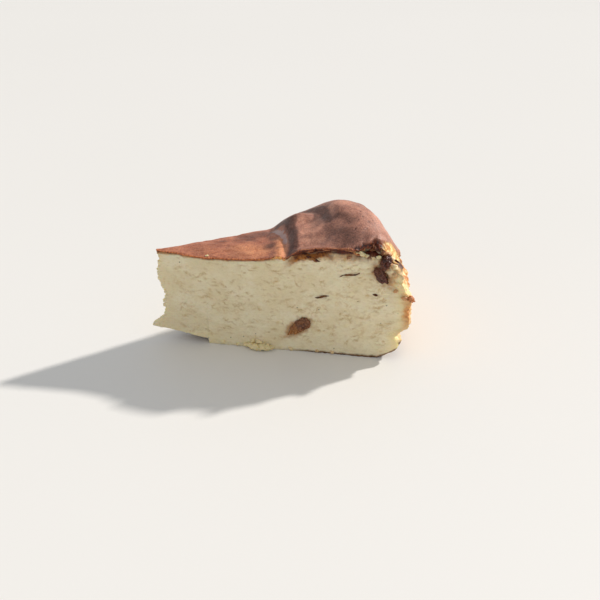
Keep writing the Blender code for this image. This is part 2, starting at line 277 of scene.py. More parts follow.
def rim_shift(t, z):
    """How far the rim stands out from its radius: a bulge at mid height, and paper pleats."""
    angle = t * HALF_ANGLE
    around = CUT_RADIUS * angle
    loss, loss_size = BULGE_LOSS
    evened = loss * smooth(*BULGE_EVENS_OUT, t) * (1 + crags(around, 40, z, loss_size))
    bulge = along(RIM_EDGE, z) * (1 - evened)
    pleat = abs(sin(PLEAT_COUNT * (t + 1) + lumps(PLEAT_WANDER, around, 0, z)))
    fold = PLEAT_DEPTH * (pleat - 0.75) * smooth(*PLEATS_START, t) * smooth(3, 9, z)
    return bulge + fold + lumps(RIM_CRAGS, around, 8, z)


def cut_shift(side, r, z, depth):
    """How far a cut's surface stands out from its plane; depth is measured down from the top."""
    place = r + (0 if side < 0 else BACK_APART)
    shift = lumps(CUT_WAVES, place, 5, z) + lumps(CUT_CRUMB, place, 15, z)
    in_crust = smooth(0.5 * CRUST_THICKNESS, 0, depth)
    shift += CRUST_OVERHANG * in_crust
    if side > 0:
        return shift
    lap = hump(LAP_CENTRE, LAP_REACH, r)
    under = smooth(0.6 * CRUST_THICKNESS, 1.6 * CRUST_THICKNESS, depth)
    shift -= LAP_DEPTH * lap * under * smooth(LAP_HEIGHT, 0.3 * LAP_HEIGHT, depth)
    tear = smooth(TEAR_START, TEAR_FULL, r)
    torn = tear * (0.85 + lumps(TEAR_FRAY, r, 2, z))
    torn_down = TEAR_HEIGHT - TEAR_LOW_AT_RIM * smooth(*TEAR_LOWERS, r)
    shift -= TEAR_SETBACK * torn * smooth(torn_down, 0.25 * torn_down, depth)
    hollow = hump(HOLLOW_CENTRE, HOLLOW_REACH, r) * under
    shift -= HOLLOW_DEPTH * hollow * smooth(0.6 * TEAR_HEIGHT, 0.3 * TEAR_HEIGHT, depth)
    crumb = hump(FOOT_CRUMB_PLACE, FOOT_CRUMB_REACH, r)
    crumb *= smooth(FOOT_CRUMB_HEIGHT, 0.4 * FOOT_CRUMB_HEIGHT, z)
    return shift + FOOT_CRUMB_DEPTH * crumb * (0.7 + 0.6 * crags(r, 0, z, 2))


def outward(t):
    """The level way out from the tip at a turn, which is -1 on the front cut and 1 on the back one."""
    return Vector((cos(t * HALF_ANGLE), sin(t * HALF_ANGLE), 0))


def cut_normal(side):
    """The way that a cut faces."""
    return Vector((-sin(HALF_ANGLE), side * cos(HALF_ANGLE), 0))


def slender(r):
    """How far relief stands out at a distance from the tip: less where the tip is thin."""
    return 0.3 + 0.7 * smooth(0, SLENDER_TIP, r)


def place_on_slice(r, t, z, depth):
    """The point at a distance from the tip, a turn and a height, a depth below the top."""
    near_tip = max(1 - r / TIP_BLEND, 0)
    r += along(TIP_EDGE, z) * near_tip
    near_rim = smooth(CUT_RADIUS - RIM_BLEND, CUT_RADIUS, r)
    reach = r + rim_shift(t, z) * near_rim
    angle = t * HALF_ANGLE
    x = reach * cos(angle)
    y = copysign(max(abs(reach * sin(angle)), abs(t) * TIP_HALF_WIDTH), t)
    point = SHARP_TIP + Vector((x, y, z))
    for side in (-1, 1):
        distance = max(r, 0) * sin(abs(side - t) * HALF_ANGLE)
        share = max(1 - distance / EDGE_BLEND, 0) ** 1.5
        if share > 0:
            point += cut_normal(side) * cut_shift(side, r, z, depth) * share * slender(r)
    return point


def on_cut(side, r, z):
    """The point of a cut's plane at a distance and a height."""
    return SHARP_TIP + outward(side) * r + Vector((0, 0, z))


def torn_marks(side):
    """The marks on one cut, as short wavy lines filed by the cells of the cut that they cross."""
    draw = random.Random(40 + side)
    cells = {}
    made = 0
    while made < MARK_COUNT:
        r, z = (draw.uniform(*limits) for limits in MARK_AREA)
        if crags(r, side * 31, 1.5 * z, MARK_CROWDS) < draw.uniform(-0.55, 0.3):
            continue
        made += 1
        lean = draw.gauss(0, MARK_SPREAD) + MARK_LEAN * smooth(45, 80, r)
        bend = draw.uniform(-0.9, 0.9)
        step = draw.uniform(*MARK_LENGTH) * draw.uniform(0.4, 1) / MARK_STEPS
        width, strength = draw.uniform(*MARK_WIDTH), draw.uniform(0.2, 1)
        for part in range(MARK_STEPS):
            thinner = 1 - 0.5 * abs(2 * part / (MARK_STEPS - 1) - 1)
            turn = lean + bend * (part - 2) / 2 + draw.uniform(-0.8, 0.8)
            r1, z1 = r + step * cos(turn), z + step * sin(turn)
            line = (r, z, r1, z1, width * thinner, strength * thinner)
            low, high = min(z, z1) - width, max(z, z1) + width
            for i in range(int((r - width) / MARK_CELL), int((r1 + width) / MARK_CELL) + 1):
                for j in range(int(low / MARK_CELL), int(high / MARK_CELL) + 1):
                    cells.setdefault((i, j), []).append(line)
            r, z = r1, z1
    return cells


def mark_at(cells, r, z):
    """How strongly a torn mark shows at a place on a cut, 0 to 1."""
    shown = 0
    for r0, z0, r1, z1, width, strength in cells.get((int(r / MARK_CELL), int(z / MARK_CELL)), ()):
        dr, dz = r1 - r0, z1 - z0
        share = min(max(((r - r0) * dr + (z - z0) * dz) / (dr * dr + dz * dz), 0), 1)
        away = hypot(r - r0 - share * dr, z - z0 - share * dz)
        shown = max(shown, strength * smooth(width, 0.15 * width, away))
    return shown


FRONT_MARKS = torn_marks(-1)
BACK_MARKS = torn_marks(1)


def near_raisin(side, r, z):
    """How deep inside a raisin's pocket a place on a cut is, and how much its juice stains it."""
    pocket = stain = 0
    for name, at_side, at, height, length, thickness, depth, lean, proud in RAISINS:
        dr, dz = r - at, z - height
        if at_side != side or hypot(dr, dz) > 1.6 * length:
            continue
        turn = radians(lean)
        along_it = (dr * cos(turn) + dz * sin(turn)) / (length / 2)
        across_it = (dz * cos(turn) - dr * sin(turn)) / (thickness / 2)
        out = hypot(along_it, across_it)
        pocket = max(pocket, smooth(0.95, 0.7, out) * min(thickness / 3, 1))
        if thickness > 2:
            uneven = 0.5 * crags(r, 61, z, 1.6)
            stain = max(stain, smooth(1.9, 0.9, out + uneven))
    return pocket, stain


def under_crust(r, depth):
    """How dark (burnt sugar and painted shade) and how caramel-brown the front cut is right under the crust.
    """
    ragged = 0.8 * crags(r, 51, depth, 2.2) + 0.5 * crags(r, 57, depth, 0.8)
    # The band under the crust's lip and the torn hollow are painted dark: burnt sugar and painted shade
    band = smooth(*BAND_FROM, r) * smooth(3.1, 2, depth + 0.5 * ragged)
    recess = smooth(*RECESS_FROM, r) * smooth(*RECESS_ENDS, r) * smooth(5.4, 3.6, depth + ragged)
    patch = hump(*CARAMEL_PATCH, r + ragged) * smooth(4.8, 3, depth + ragged)
    hollow = smooth(*BURNT_AND_SHADE_FROM, r + ragged) * smooth(*BURNT_AND_SHADE_ENDS, r + ragged)
    hollow *= smooth(5.4, 3.2, depth + 1.3 * ragged)
    line = smooth(1.5, 0.7, depth + 0.35 * ragged)
    stained = smooth(*STAIN_FROM, r) * smooth(6.6, 3.6, depth + 1.6 * ragged)
    burnt_and_shade = max(band, hollow, 0.35 * recess * smooth(0.1, 0.4, crags(r, 3, depth, 1.5)))
    return burnt_and_shade, max(0.85 * line, recess, 0.9 * patch, hollow, 0.55 * stained)


def cut_relief(place, z, knobbly):
    """The relief of cut crumb: fine grains, smears of the knife and knobbly lumps in places."""
    fine = relief_of(FINE_CRUMB, place, 3, z) + relief_of(SMEARS, SMEAR_STRETCH * place, 33, z)
    return fine + knobbly * relief_of(KNOBBLY_CRUMB, place, 13, z)


def front_look(r, z, depth):
    """Relief and colour masks on the front cut."""
    ragged = 1.2 * crags(r, 51, z, 2.2)
    knobbly = smooth(*KNOBBLY_FROM[0], r) * smooth(*KNOBBLY_FROM[1], z)
    torn = smooth(TEAR_START, TEAR_FULL, r) * smooth(8, 4, depth)
    relief = cut_relief(r, z, knobbly) + torn * relief_of(TORN_CRUMB, r, 23, z)
    if z < FOOT_BREAKS_TO:
        relief += (1 - z / FOOT_BREAKS_TO) * lumps(BROKEN_FOOT, r, 43, z)
    mark = mark_at(FRONT_MARKS, r, z) * (1 - torn)
    pocket, stain = near_raisin(-1, r, z)
    relief -= MARK_DEPTH * mark + POCKET_DEPTH[-1] * pocket
    burnt_and_shade, caramel = under_crust(r, depth)
    wrinkled = hump(*FOLD[0], r + 0.5 * ragged) * hump(*FOLD[1], z)
    folds = crags(r, 5, z, 1.1)
    relief += 0.5 * wrinkled * folds
    ochre = smooth(0.18, 0.5, crags(r, 71, z, 2.6)) * smooth(*OCHRE_FROM[0], r)
    ochre = max(ochre * smooth(*OCHRE_FROM[1], z), 0.6 * smooth(0.3, 0.6, crags(r, 77, z, 3.4)))
    corner = smooth(*CORNER_FROM, r + 0.6 * ragged)
    halo = hump(*HALO[0], r + 0.7 * ragged) * hump(*HALO[1], z)
    caramel = max(caramel, 0.8 * halo)
    masks = {
        # Dark under the crust: burnt sugar, with painted shade under the lip and in the torn hollow
        "burnt_and_shade": burnt_and_shade,
        "caramel": max(caramel, 0.75 * stain, 0.35 * wrinkled + 0.5 * wrinkled * smooth(-0.1, 0.5, folds)),
        "toast": corner * max(hump(*TOAST_BAND, z) * smooth(86.6, 88.6, r + 0.8 * ragged),
                              0.9 * smooth(0.1, 0.4, crags(r, 81, z, 2.2)) * smooth(30, 33, z)),
        # Yellow: the rim corner's yellow crumb, and a painted glow of light through the thin tip and foot
        "yellow_and_glow": max(0.12 * smooth(9, 0, r + 2 * ragged), 0.9 * corner,
                     0.6 * smooth(26, 14, r) * smooth(6, 3, z + ragged)),
        "mark": mark,
        "ochre": ochre * (1 - corner),
        "brown_base": smooth(44, 62, r) * smooth(1.1, 0.3, z - base_height(r) + 0.3 * ragged),
    }
    return relief, masks


def back_look(r, z, depth):
    """Relief and colour masks on the back cut."""
    place = r + BACK_APART
    ragged = 1.2 * crags(place, 51, z, 2.2)
    relief = cut_relief(place, z, smooth(*KNOBBLY_FROM[0], r))
    mark = mark_at(BACK_MARKS, r, z)
    pocket, stain = near_raisin(1, r, z)
    relief -= MARK_DEPTH * mark + POCKET_DEPTH[1] * pocket
    corner = smooth(*CORNER_FROM, r + 0.6 * ragged)
    masks = {
        "burnt_and_shade": 0,
        "caramel": max(smooth(1.9, 0.8, depth + 0.4 * ragged) * 0.9, 0.75 * stain),
        "toast": smooth(87.2, 89, r + 0.8 * ragged) * smooth(4, 9, z),
        # Yellow: a painted glow of light through the thin tip, and the rim corner's yellow crumb
        "yellow_and_glow": max(smooth(10, 2, r + 2 * ragged), 0.6 * corner),
        "mark": mark,
        "ochre": 0.6 * smooth(0.3, 0.6, crags(place, 77, z, 3.4)),
        "brown_base": 1 - smooth(0.3, 1.1, z - base_height(r) + 0.3 * ragged),
    }
    return relief, masks


def rim_relief(t, z):
    """How far the rim's baked crumb lumps stand out."""
    around = CUT_RADIUS * t * HALF_ANGLE
    return relief_of(RIM_LUMPS, around, 3, z)


def rim_look(t, z, depth):
    """Colour masks round the rim: yellow crumb with toasted lumps, darker towards the crust."""
    around = CUT_RADIUS * t * HALF_ANGLE
    patches = crags(around, 15, z, 5) + 0.6 * crags(around, 25, z, 1.8)
    corner = smooth(-0.72, -1, t)
    raised = smooth(-0.2, 0.9, rim_relief(t, z))
    toast = smooth(-0.3, 0.45, patches + 0.1 + 0.3 * raised) * (1 - corner)
    toast = max(toast, corner * hump(*TOAST_BAND, z), corner * 0.8 * smooth(0.15, 0.5, patches))
    return {
        "burnt_and_shade": (1 - corner) * max(0.4 * smooth(0.3, 0.8, patches), 0.7 * smooth(2.4, 0.8, depth)),
        "caramel": 0.35 * smooth(0, 0.6, patches) * (1 - corner),
        "toast": toast,
        "yellow_and_glow": 0.85,
        "mark": 0,
        "ochre": 0,
        "brown_base": 1 - smooth(0.8, 2.6, z - base_height(CUT_RADIUS) + 0.8 * patches),
    }


def wall_columns():
    """Every upright line of points once round the slice: (distance, turn)."""
    columns = [(CUT_RADIUS * i / FRONT_COLUMNS, -1) for i in range(FRONT_COLUMNS)]
    columns += [(CUT_RADIUS, 2 * i / RIM_COLUMNS - 1) for i in range(RIM_COLUMNS)]
    columns += [(CUT_RADIUS * (1 - i / BACK_COLUMNS), 1) for i in range(BACK_COLUMNS)]
    columns += [(0, 1 - 2 * i / TIP_COLUMNS) for i in range(TIP_COLUMNS)]
    return columns


def wall_point(r, t, share):
    """A point of the wall, a share of the way down its line, with its colour masks."""
    top = top_height(r, t)
    base = base_height(r)
    depth = CURD_TOP_DEPTH + share * (top - base - CURD_TOP_DEPTH)
    z = top - depth
    point = place_on_slice(r, t, z, depth)
    side = -1 if t < 0 else 1
    relief, masks = (front_look if side < 0 else back_look)(r, z, depth)
    on_rim = smooth(1, 0.9, abs(t)) if r == CUT_RADIUS else 0
    if on_rim > 0:
        rim_masks = rim_look(t, z, depth)
        masks = {name: masks[name] + on_rim * (rim_masks[name] - masks[name]) for name in masks}
    hidden = smooth(0, 0.02, share)
    point += cut_normal(side) * relief * hidden * slender(r) * (1 - on_rim)
    point += outward(t) * rim_relief(t, z) * smooth(*RIM_CORNER, r) * hidden
    teeth = relief_of(TIP_TEETH, 0, 91, z)
    point.x += teeth * smooth(2.5, 0, r) * hidden
    point.z = max(point.z, 0)
    return point, masks


def wedge_filling(spacing):
    """Places spread evenly inside the wedge, clear of its edges: (distance, turn)."""
    places = []
    rise = spacing * sqrt(3) / 2
    half_width = CUT_RADIUS * sin(HALF_ANGLE)
    clear = 0.6 * spacing
    for row in range(-int(half_width / rise), int(half_width / rise) + 1):
        y = row * rise
        for column in range(int(CUT_RADIUS / spacing) + 1):
            x = (column + 0.5 * (row % 2)) * spacing
            r, turn = hypot(x, y), abs(atan2(y, x))
            if r < CUT_RADIUS - clear and turn < HALF_ANGLE and r * sin(HALF_ANGLE - turn) > clear:
                places.append((r, atan2(y, x) / HALF_ANGLE))
    return places


def fill_wedge(edge, inside):
    """Triangles over an edge's places and those inside it, turned up; the edge comes first."""
    plan = []
    for r, t in edge + inside:
        wide = t * TIP_HALF_WIDTH if r == 0 else 0
        plan.append((outward(t) * r + Vector((0, wide, 0))).to_2d())
    ring = [(i, (i + 1) % len(edge)) for i in range(len(edge))]
    result = geometry.delaunay_2d_cdt(plan, ring, [list(range(len(edge)))], 1, 1e-7)
    faces, sources = result[2], result[3]
    triangles = []
    for face in faces:
        corners = [sources[i][0] for i in face]
        a, b, c = (plan[i] for i in corners)
        turned_up = (b - a).cross(c - a) > 0
        triangles.append(corners if turned_up else corners[::-1])
    return triangles


def new_piece(name, points, faces, looks, material, slot):
    """A mesh piece of the slice, with a colour mask for every entry of its looks."""
    mesh = bpy.data.meshes.new(name)
    mesh.from_pydata([tuple(p * MM) for p in points], [], faces)
    for mask_name in looks[0]:
        values = mesh.attributes.new(mask_name, "FLOAT", "POINT")
        values.data.foreach_set("value", [look[mask_name] for look in looks])
    mesh.materials.append(material)
    mesh.shade_smooth()
    mesh.update()
    piece = bpy.data.objects.new(name, mesh)
    bpy.context.scene.collection.objects.link(piece)
    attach(piece, "root")
    return piece


def shade(red, green, blue):
    """A colour given by its screen values, 0 to 255, as the shaders need it."""
    shares = (value / 255 for value in (red, green, blue))
    return (*(((s + 0.055) / 1.055) ** 2.4 if s > 0.04 else s / 12.92 for s in shares), 1)


def start_material(name):
    """A new node material, to whose tree the helpers below then add, and its shader."""
    global tree
    material = bpy.data.materials.new(name)
    material.use_nodes = True
    tree = material.node_tree
    return material, tree.nodes["Principled BSDF"]


def feed(node, inputs):
    """Sets a node's inputs, or wires them to what other nodes give."""
    for key, value in inputs.items():
        if isinstance(value, bpy.types.NodeSocket):
            tree.links.new(value, node.inputs[key])
        else:
            node.inputs[key].default_value = value


def add(kind, inputs, output=0, **settings):
    """Adds a node with its settings and inputs, and returns one output."""
    made = tree.nodes.new(kind)
    for name, value in settings.items():
        setattr(made, name, value)
    feed(made, inputs)
    return made.outputs[output]


def mask(name):
    """One of the piece's colour masks."""
    return add("ShaderNodeAttribute", {}, output=2, attribute_name=name)


def grain(size, detail=3, flat=1, roughness=0.55):
    """Soft noise with lumps of a size, flattened into level streaks by flat."""
    where = add("ShaderNodeTexCoord", {}, output=3)
    where = add("ShaderNodeMapping", {0: where, 3: (1, 1, flat)})
    return add("ShaderNodeTexNoise", {"Vector": where, "Scale": 1 / (size * MM), "Detail": detail,
                                      "Roughness": roughness})


def between(value, low, high):
    """0 where the value is below low, 1 above high, with a soft S between."""
    return add("ShaderNodeMapRange", {0: value, 1: low, 2: high}, interpolation_type="SMOOTHSTEP")


def times(a, b):
    """Two values multiplied."""
    return add("ShaderNodeMath", {0: a, 1: b}, operation="MULTIPLY", use_clamp=True)


def plus(a, b):
    """Two values added."""
    return add("ShaderNodeMath", {0: a, 1: b}, operation="ADD")


def blend(share, first, second):
    """A colour between two, by a share; a plain colour is given by its screen values."""
    first, second = (shade(*colour) if isinstance(colour, tuple) else colour for colour in (first, second))
    return add("ShaderNodeMix", {0: share, 6: first, 7: second}, output=2, data_type="RGBA")


def layers(colour, coats):
    """Lays coats over a colour, each given as (where it lies, how strongly, its colour)."""
    for cover, strength, coat in coats:
        colour = blend(times(cover, strength), colour, coat)
    return colour


def spread(value, low, high, first, last):
    """A value between two limits, spread evenly between a first number and a last."""
    return add("ShaderNodeMapRange", {0: value, 1: low, 2: high, 3: first, 4: last})


def sinking_light(weight, green, blue, depth):
    """How light sinks in and glows back: red to a depth, green and blue to shares of it."""
    return {"Subsurface Weight": weight, "Subsurface Radius": (1, green, blue),
            "Subsurface Scale": depth * MM}


def pores(size, width):
    """Small round pores, one in some cells of a size: 1 in a pore."""
    where = add("ShaderNodeTexCoord", {}, output=3)
    far = add("ShaderNodeTexVoronoi", {"Vector": where, "Scale": 1 / (size * MM), "Randomness": 1})
    return spread(far, width / size, 0.5 * width / size, 0, 1)


def bump(height, depth):
    """A surface that rises and falls with a height, by a depth."""
    return add("ShaderNodeBump", {"Strength": 1, "Distance": depth * MM, "Height": height})


def curd_material():
    """Moist cream curd with tan marks, toasted and caramel-stained where the masks say, with burnt sugar and
    painted shade under the crust and a painted glow of light through the thin tip.
    """
    material, shader = start_material("baked_curd")
    cream = blend(between(grain(9, 2), 0.35, 0.65), (238, 222, 184), (245, 232, 198))
    speckle = between(grain(0.9), 0.3, 0.6)
    colour = layers(cream, (
        (between(grain(1.3, flat=1.8), 0.45, 0.7), 0.3, (216, 194, 144)),
        (between(grain(0.5, 2), 0.58, 0.74), 0.28, (206, 184, 136)),
        (times(mask("mark"), between(grain(0.6), 0.28, 0.55)), 0.7, (190, 154, 92)),
        (times(mask("ochre"), between(grain(0.8), 0.42, 0.62)), 0.55, (206, 166, 98)),
        # Yellow: the rim's yellow crumb, and a painted glow of light through the thin tip and foot
        (mask("yellow_and_glow"), 0.65, (248, 226, 160)),
        (pores(5, 0.36), 0.7, (96, 76, 46)),
        (times(mask("caramel"), between(grain(1.1), 0.1, 0.42)), 1,
         blend(speckle, (116, 58, 20), (182, 116, 46))),
        (mask("toast"), 0.9, blend(speckle, (178, 92, 36), (220, 150, 78))),
        # Dark under the crust: burnt sugar with painted shade
        (mask("burnt_and_shade"), 1, blend(speckle, (46, 14, 10), (96, 36, 18))),
        (mask("brown_base"), 1, blend(speckle, (74, 46, 24), (128, 88, 50)))))
    rough = spread(between(grain(2.5, 2), 0.3, 0.7), 0, 1, 0.46, 0.66)
    fine = plus(grain(0.5), times(grain(1.4, 2), 0.8))
    feed(shader, {"Base Color": colour, "Roughness": rough, "Normal": bump(fine, 0.22),
                  "Specular IOR Level": 0.3} | sinking_light(0.26, 0.62, 0.28, 1.4))
    return material


def build_curd():
    """The whole curd: the wall, the base and the hidden top."""
    columns = wall_columns()
    points, looks = [], []
    for share in (row / WALL_ROWS for row in range(WALL_ROWS + 1)):
        for r, t in columns:
            point, look = wall_point(r, t, share)
            points.append(point)
            looks.append(look)
    count = len(columns)
    faces = []
    for row in range(WALL_ROWS):
        for i in range(count):
            a, b = row * count + i, row * count + (i + 1) % count
            faces.append((a, a + count, b + count, b))
    inside = wedge_filling(FILLING_SPACING)
    triangles = fill_wedge(columns, inside)
    lowest = WALL_ROWS * count
    for level, first in (("top", 0), ("base", lowest)):
        start = len(points) - count
        for r, t in inside:
            z = top_height(r, t) - HIDDEN_TOP_DEPTH if level == "top" else base_height(r)
            point = place_on_slice(r, t, z, 5)
            points.append(Vector((point.x, point.y, z)))
            looks.append(dict.fromkeys(looks[0], 0) | {"brown_base": float(level == "base")})
        for corners in triangles:
            placed = [first + i if i < count else start + i for i in corners]
            faces.append(placed if level == "top" else placed[::-1])
    curd = new_piece("curd", points, faces, looks, curd_material(), "cheesecake")
    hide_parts("cheesecake_slice")


build_curd()

# The browned skin
# The thin skin that the hot oven browned over the curd, orange on the plateau and darker on the
# dome. A closed sheet over the curd, with a rolled lip that frays along the dome's front and is
# torn back at the corner.
SKIN_SPACING = 0.31
LIP_ROWS = 5
LIP_THICKNESS = 0.62
SKIN_GRAIN = ((0.06, 1.9), (0.03, 0.8))
SKIN_DENTS = (0.16, 5)
FRAY = ((0.45, 1.4), (0.28, 0.6))
FRAYS_FROM = (49, 53)
FRAY_REACH = 1.6
EDGE_WAVES = (0.22, 2.4)
PITS = ((75.9, -0.08), (75.5, -0.29), (75.8, -0.43), (72.9, -0.7), (76.9, -0.7), (77.9, -0.52), (79.5, -0.45),
        (80.4, -0.2), (74.2, -0.52), (66.2, 0.35), (79, 0.45), (70.1, 0.62), (27, 0.55))
PIT_REACH = 0.5
PIT_DEPTH = 0.22

# Patches on the skin, as (distance, turn, reach, strength) in millimetres: darker ones, partly browning
# and partly painted shade, and orange ones, partly the skin's own orange and partly painted light
DARK_AND_SHADED_PATCHES = ((27, 0.55, 2, 0.6), (35.8, 0.66, 4.5, 0.6), (37.2, 0.33, 2.4, 0.5), (40.8, 0.61, 5, 0.6),
                (32.7, 0.39, 3, 0.35), (28.7, -0.23, 4, 0.25), (31, -0.7, 4, 0.3), (16, -0.2, 5, 0.25),
                (23, 0.3, 4, 0.25), (42.4, -0.38, 2.8, 0.85), (44.2, -0.05, 2.2, 0.35),
                (44.5, 0.6, 4, 0.5), (52.6, 0.8, 4, 0.6), (66.7, -0.28, 2.4, 0.7),
                (69.6, -0.37, 2.6, 0.65), (71.5, -0.5, 2.6, 0.6), (63.8, -0.52, 2, 0.5),
                (65.8, -0.64, 2.6, 0.65), (68.5, -0.72, 2.8, 0.75), (70.8, -0.7, 2.8, 0.75),
                (70.2, -0.87, 2.6, 0.75), (72.4, -0.88, 2.6, 0.75), (69.4, -0.97, 1.8, 0.5),
                (73.4, -0.78, 2.2, 0.45), (76, -0.84, 3, 0.45), (66.5, -0.86, 2.4, 0.35),
                (82, 0.3, 7, 0.5), (62, 0.8, 6, 0.45), (78, 0.75, 6, 0.5), (75, 0.4, 5, 0.4))
# Orange patches: partly the skin's own orange, partly painted light on the sunlit mound, lobe, crest and dome
ORANGE_AND_LIT_PATCHES = ((6, 0, 9, 0.15), (20, -0.6, 8, 0.2), (33, -0.4, 7, 0.6), (38.5, -0.6, 5, 0.7),
                   (46, -0.45, 2.8, 1), (46.2, -0.12, 2.6, 0.9), (46.8, -0.7, 2.6, 1),
                   (46.6, -0.9, 2.8, 1), (56.5, 0.15, 2.8, 0.7), (57.6, -0.12, 3.2, 0.9),
                   (55.2, -0.35, 2.6, 0.9), (58.6, -0.4, 3, 0.9), (55.4, -0.65, 2.6, 0.8),
                   (58.8, -0.68, 2.8, 0.8), (61.2, -0.35, 1.8, 0.6), (61.4, -0.72, 2, 0.5),
                   (66.5, 0.05, 3.6, 0.55), (71, 0.1, 5, 0.7), (74, -0.2, 4, 0.35),
                   (46.2, -0.3, 1.8, 0.8), (83, -0.3, 6, 0.5))

# Bands of painted shade on the dome's steep foot and on the crescent of its shoulder, each as (its line
# of distances and turns, reach, strength)
PAINTED_SHADE_BANDS = ((((49.4, 0.64), (51.2, 0.42), (51, 0.2), (51.2, -0.2), (51, -0.6), (51.2, -1)), 1.9, 0.97),
              (((53.2, 0.32), (52, 0.12)), 1.7, 0.9),
              (((62.6, 0.62), (63.4, 0.36), (64.2, 0.14), (63.8, -0.08), (64, -0.3)), 1.9, 0.85))
BAND_SOFTNESS = (0.55, 1.2)
# The painted reflection of the sky on the syrup in the crease: its line as (turn, distance), and its reach
SHEEN_PLACE = ((-0.42, 47.8), (-0.17, 48.1), (0.07, 47.9), (0.3, 47.4), (0.62, 47.2))
SHEEN_REACH = 0.95
HIDDEN_SKIN_DEPTH = 3.6

# The crust's torn edge at the corner, as (distance, turn): in front of it the crumb lies bare
CRUST_LINE = ((71.5, -1), (73.2, -0.986), (75.4, -0.964), (78.1, -0.941), (79.5, -0.887), (82.4, -0.891),
              (83.8, -0.837), (85.3, -0.735), (87.5, -0.42), (90, -0.38))
CRUST_LINE_FRAY = ((0.5, 1.3), (0.3, 0.5))
BARE_FROM = (71.5, 73.5)
BARE_DEPTH = 0.9
BARE_LUMPS = ((0.8, 1.8), (0.5, 0.8))


def patches(table, r, t):
    """How strongly a table's patches cover a place on the skin, 0 to 1, with uneven edges."""
    x, y, _ = here = outward(t) * r
    uneven = 1 + 0.3 * crags(x, y, 0, 2.6) + 0.2 * crags(x, y, 9, 0.9)
    clear = 1
    for at, turn, reach, strength in table:
        away = (here - outward(turn) * at).length
        if away < 1.8 * reach:
            clear *= 1 - strength * smooth(1.25, 0.25, away / reach * uneven)
    return 1 - clear


def painted_shade_bands(r, t):
    """How strongly the bands of painted shade cover a place on the skin, 0 to 1."""
    here = outward(t) * r
    uneven = 0.5 * crags(here.x, here.y, 27, 2.2)
    clear = 1
    for line, reach, strength in PAINTED_SHADE_BANDS:
        ends = [outward(turn) * at for at, turn in line]
        away = reach * 2
        for first, last in zip(ends, ends[1:]):
            share = min(max((here - first).dot(last - first) / (last - first).length_squared, 0), 1)
            away = min(away, (here - first.lerp(last, share)).length)
        low, high = BAND_SOFTNESS
        clear *= 1 - strength * smooth(high * reach, low * reach, away + uneven)
    return 1 - clear


def crease_sheen(r, t):
    """Where the painted reflection of the sky lies on the syrup in the crease, 0 to 1."""
    first, last = SHEEN_PLACE[0], SHEEN_PLACE[-1]
    middle = along(SHEEN_PLACE, t)
    uneven = 0.5 * crags(r, t * TURN_APART, 33, 1.3)
    band = smooth(SHEEN_REACH, 0.55 * SHEEN_REACH, abs(r - middle + uneven))
    return band * smooth(first[0] - 0.08, first[0] + 0.08, t) * smooth(last[0] + 0.1, last[0] - 0.15, t)


def pit(r, t):
    """How deep in one of the skin's small pits a place is, 0 to 1."""
    deepest = 0
    for at, turn in PITS:
        if abs(r - at) < 2 * PIT_REACH:
            away = hypot(r - at, (t - turn) * HALF_ANGLE * r)
            deepest = max(deepest, smooth(1, 0.2, away / PIT_REACH))
    return deepest


def bare(r, t):
    """How far the crust is gone at a place, 0 to 1, and how yellow the bare crumb is there."""
    away = (t - along(CRUST_LINE, r)) * HALF_ANGLE * r
    away += sum(height * crags(r, 17, 0, size) for height, size in CRUST_LINE_FRAY)
    gone = smooth(0.25, -0.2, away) * smooth(*BARE_FROM, r)
    return gone, smooth(83.6, 86, r + 0.8 * crags(r, t * TURN_APART, 19, 1.5))


def skin_point(r, t):
    """A point on the skin, with its frayed edge."""
    point = place_on_slice(r, t, top_height(r, t), 0)
    from_front = r * sin((t + 1) * HALF_ANGLE)
    near_front = smooth(FRAY_REACH, 0, from_front)
    if near_front > 0:
        frayed = smooth(*FRAYS_FROM, r) * near_front
        fray = sum(height * abs(crags(r, 0, 0, size)) for height, size in FRAY)
        plain = (1 - smooth(*FRAYS_FROM, r)) * near_front
        point -= cut_normal(-1) * (fray * frayed + (0.3 + lumps(EDGE_WAVES, r, 0, 7)) * plain)
    x, y, _ = outward(t) * r
    point.z += relief_of(SKIN_GRAIN, x, y, 4)
    point.z -= PIT_DEPTH * pit(r, t) + SKIN_DENTS[0] * max(crags(x, y, 12, SKIN_DENTS[1]), 0)
    gone = bare(r, t)[0]
    if gone > 0:
        point.z -= gone * (BARE_DEPTH + relief_of(BARE_LUMPS, x, y, 21))
    return point


def skin_look(r, t):
    """The skin's colour masks at a place."""
    edge = min(r * sin((t + 1) * HALF_ANGLE), r * sin((1 - t) * HALF_ANGLE), CUT_RADIUS - r)
    gone, yellow = bare(r, t)
    return {
        # Dark: browned patches, and painted shade on the dome's foot, crescent and shaded front
        "dark": max(patches(DARK_AND_SHADED_PATCHES, r, t), painted_shade_bands(r, t)),
        # Orange: the skin's own orange, with painted light on the sunlit mound, lobe and crest
        "orange_and_lit": patches(ORANGE_AND_LIT_PATCHES, r, t),
        "sheen": crease_sheen(r, t),
        "dome": smooth(47, 52, r),
        "pit": pit(r, t),
        "lip": smooth(0.4, 0, edge) * 0.7,
        "under": gone * (1 - yellow),
        "crumb": gone * yellow,
    }


